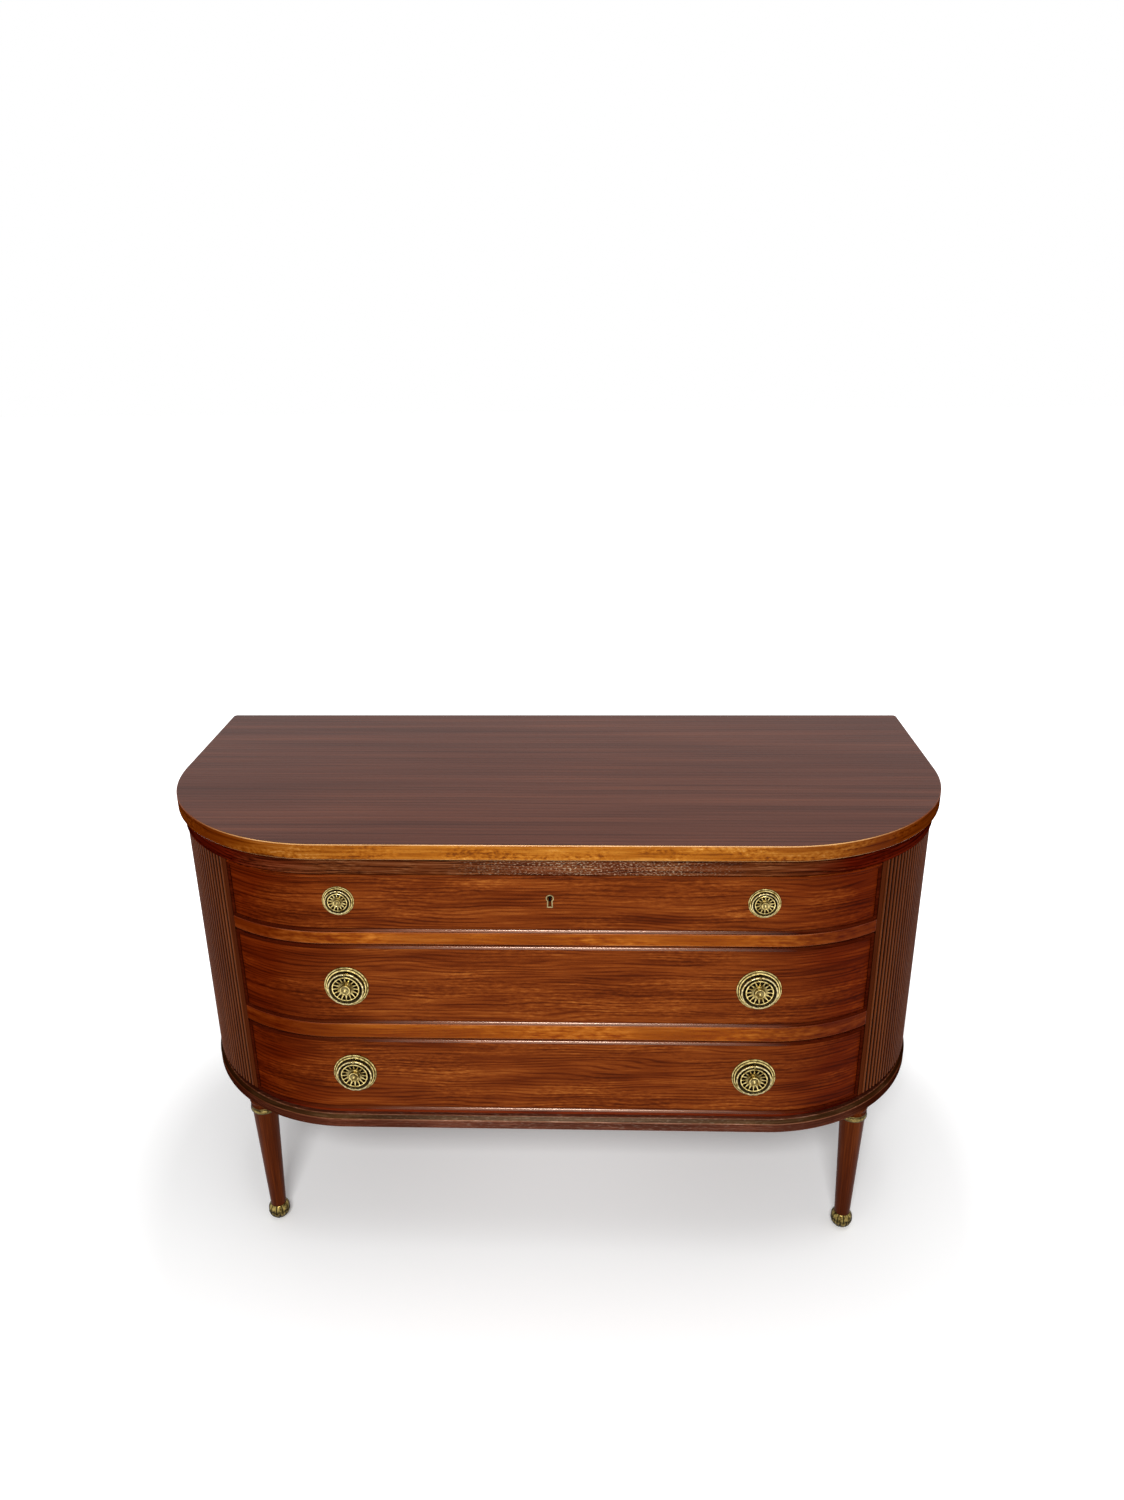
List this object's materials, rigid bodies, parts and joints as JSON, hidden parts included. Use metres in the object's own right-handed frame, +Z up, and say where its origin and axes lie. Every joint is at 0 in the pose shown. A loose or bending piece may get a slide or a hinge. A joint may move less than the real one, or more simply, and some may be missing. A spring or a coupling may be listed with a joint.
{
  "type": "demilune chest of drawers",
  "caption": "Low chest with a straight back and quarter-round front corners: curved drawers with brass ring pulls, reeded sides and turned legs on brass ball feet.",
  "frame": {"origin": "on the floor, under the middle of the bounding box", "axes": "+X along the front to the viewer's right, +Y to the back, +Z up; the drawers face -Y"},
  "size_m": [1.12, 0.4934, 0.695],
  "materials": {
    "slab_mahogany": "french polished mahogany, straight grain, darkened",
    "front_mahogany": "french polished figured mahogany veneer",
    "rail_mahogany": "polished mahogany, lighter",
    "body_mahogany": "polished mahogany, dark",
    "moulding_mahogany": "polished mahogany moulding, worn",
    "leg_mahogany": "polished turned mahogany",
    "drawer_oak": "plain oak, unfinished",
    "carcase_pine": "plain pine, unfinished",
    "aged_brass": "cast brass, aged",
    "lock_steel": "filed steel"
  },
  "bodies": {
    "carcase": {"top_board": "slab_mahogany", "cornice_moulding": "moulding_mahogany", "upper_rail": "rail_mahogany", "lower_rail": "rail_mahogany", "upper_dust_board": "carcase_pine", "lower_dust_board": "carcase_pine", "bottom_board": "body_mahogany", "base_board": "moulding_mahogany", "back_panel": "carcase_pine", "left_side_board": "carcase_pine", "left_reeded_panel": "body_mahogany", "left_front_post": "body_mahogany", "right_side_board": "carcase_pine", "right_reeded_panel": "body_mahogany", "right_front_post": "body_mahogany", "front_left_leg": "leg_mahogany", "front_left_collar": "aged_brass", "front_left_ball_foot": "aged_brass", "front_right_leg": "leg_mahogany", "front_right_collar": "aged_brass", "front_right_ball_foot": "aged_brass", "rear_left_leg": "leg_mahogany", "rear_left_collar": "aged_brass", "rear_left_ball_foot": "aged_brass", "rear_right_leg": "leg_mahogany", "rear_right_collar": "aged_brass", "rear_right_ball_foot": "aged_brass"},
    "top_drawer": {"top_drawer_front": "front_mahogany", "top_drawer_cock_bead": "front_mahogany", "top_drawer_left_side": "drawer_oak", "top_drawer_right_side": "drawer_oak", "top_drawer_bottom": "drawer_oak", "top_drawer_back": "drawer_oak", "top_left_pull_plate": "aged_brass", "top_right_pull_plate": "aged_brass", "lock_case": "lock_steel", "escutcheon": "aged_brass"},
    "middle_drawer": {"middle_drawer_front": "front_mahogany", "middle_drawer_cock_bead": "front_mahogany", "middle_drawer_left_side": "drawer_oak", "middle_drawer_right_side": "drawer_oak", "middle_drawer_bottom": "drawer_oak", "middle_drawer_back": "drawer_oak", "middle_left_pull_plate": "aged_brass", "middle_right_pull_plate": "aged_brass"},
    "bottom_drawer": {"bottom_drawer_front": "front_mahogany", "bottom_drawer_cock_bead": "front_mahogany", "bottom_drawer_left_side": "drawer_oak", "bottom_drawer_right_side": "drawer_oak", "bottom_drawer_bottom": "drawer_oak", "bottom_drawer_back": "drawer_oak", "bottom_left_pull_plate": "aged_brass", "bottom_right_pull_plate": "aged_brass"},
    "lock_bolt": {"lock_bolt": "lock_steel"},
    "top_left_ring": {"top_left_pull_ring": "aged_brass"},
    "top_right_ring": {"top_right_pull_ring": "aged_brass"},
    "middle_left_ring": {"middle_left_pull_ring": "aged_brass"},
    "middle_right_ring": {"middle_right_pull_ring": "aged_brass"},
    "bottom_left_ring": {"bottom_left_pull_ring": "aged_brass"},
    "bottom_right_ring": {"bottom_right_pull_ring": "aged_brass"}
  },
  "joints": [
    {"name": "top_drawer_slide", "type": "slide", "parent": "carcase", "child": "top_drawer", "axis": [0, -1, 0], "range_m": [0, 0.3]},
    {"name": "middle_drawer_slide", "type": "slide", "parent": "carcase", "child": "middle_drawer", "axis": [0, -1, 0], "range_m": [0, 0.3]},
    {"name": "bottom_drawer_slide", "type": "slide", "parent": "carcase", "child": "bottom_drawer", "axis": [0, -1, 0], "range_m": [0, 0.3]},
    {"name": "lock_bolt_slide", "type": "slide", "parent": "top_drawer", "child": "lock_bolt", "axis": [0, 0, 1], "range_m": [0, 0.008]},
    {"name": "top_left_ring_swing", "type": "hinge", "parent": "top_drawer", "child": "top_left_ring", "pos_m": [-0.28086, -0.23671, 0.62341], "axis": [-1, 0, 0], "range_deg": [0, 110]},
    {"name": "top_right_ring_swing", "type": "hinge", "parent": "top_drawer", "child": "top_right_ring", "pos_m": [0.28086, -0.23671, 0.62341], "axis": [-1, 0, 0], "range_deg": [0, 110]},
    {"name": "middle_left_ring_swing", "type": "hinge", "parent": "middle_drawer", "child": "middle_left_ring", "pos_m": [-0.28086, -0.23875, 0.4965], "axis": [-1, 0, 0], "range_deg": [0, 110]},
    {"name": "middle_right_ring_swing", "type": "hinge", "parent": "middle_drawer", "child": "middle_right_ring", "pos_m": [0.28086, -0.23875, 0.4965], "axis": [-1, 0, 0], "range_deg": [0, 110]},
    {"name": "bottom_left_ring_swing", "type": "hinge", "parent": "bottom_drawer", "child": "bottom_left_ring", "pos_m": [-0.28086, -0.23875, 0.35204], "axis": [-1, 0, 0], "range_deg": [0, 110]},
    {"name": "bottom_right_ring_swing", "type": "hinge", "parent": "bottom_drawer", "child": "bottom_right_ring", "pos_m": [0.28086, -0.23875, 0.35204], "axis": [-1, 0, 0], "range_deg": [0, 110]}
  ]
}
